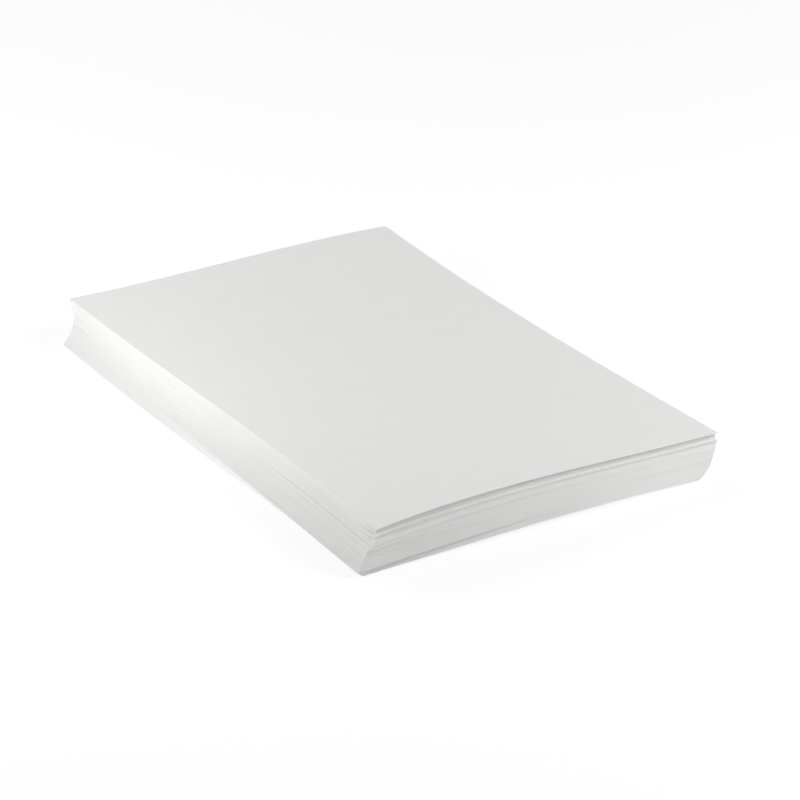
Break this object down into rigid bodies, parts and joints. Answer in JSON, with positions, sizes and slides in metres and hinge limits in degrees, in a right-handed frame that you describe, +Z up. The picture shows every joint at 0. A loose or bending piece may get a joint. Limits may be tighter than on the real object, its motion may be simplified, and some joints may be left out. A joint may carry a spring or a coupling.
{
  "type": "ream of paper",
  "caption": "Loose, unwrapped stack of plain white A4 office paper, slumped to one side with its near end arched; lies flat.",
  "frame": {"origin": "on the table, under the middle of the box around the whole stack", "axes": "+X along the short edge, from the front corner towards the right corner; +Y along the long edge, away from the near end; +Z up"},
  "size_m": [0.2196, 0.302, 0.0307],
  "materials": {
    "sheets": "matte"
  },
  "bodies": {
    "root": {"lift_01": "sheets", "lift_02": "sheets", "lift_03": "sheets", "lift_04": "sheets", "lift_05": "sheets", "lift_06": "sheets", "lift_07": "sheets", "lift_08": "sheets", "lift_09": "sheets", "lift_10": "sheets", "lift_11": "sheets", "lift_12": "sheets", "lift_13": "sheets", "lift_14": "sheets", "lift_15": "sheets", "lift_16": "sheets", "lift_17": "sheets", "lift_18": "sheets", "lift_19": "sheets", "lift_20": "sheets", "lift_21": "sheets", "lift_22": "sheets", "lift_23": "sheets", "lift_24": "sheets", "lift_25": "sheets"}
  },
  "joints": []
}
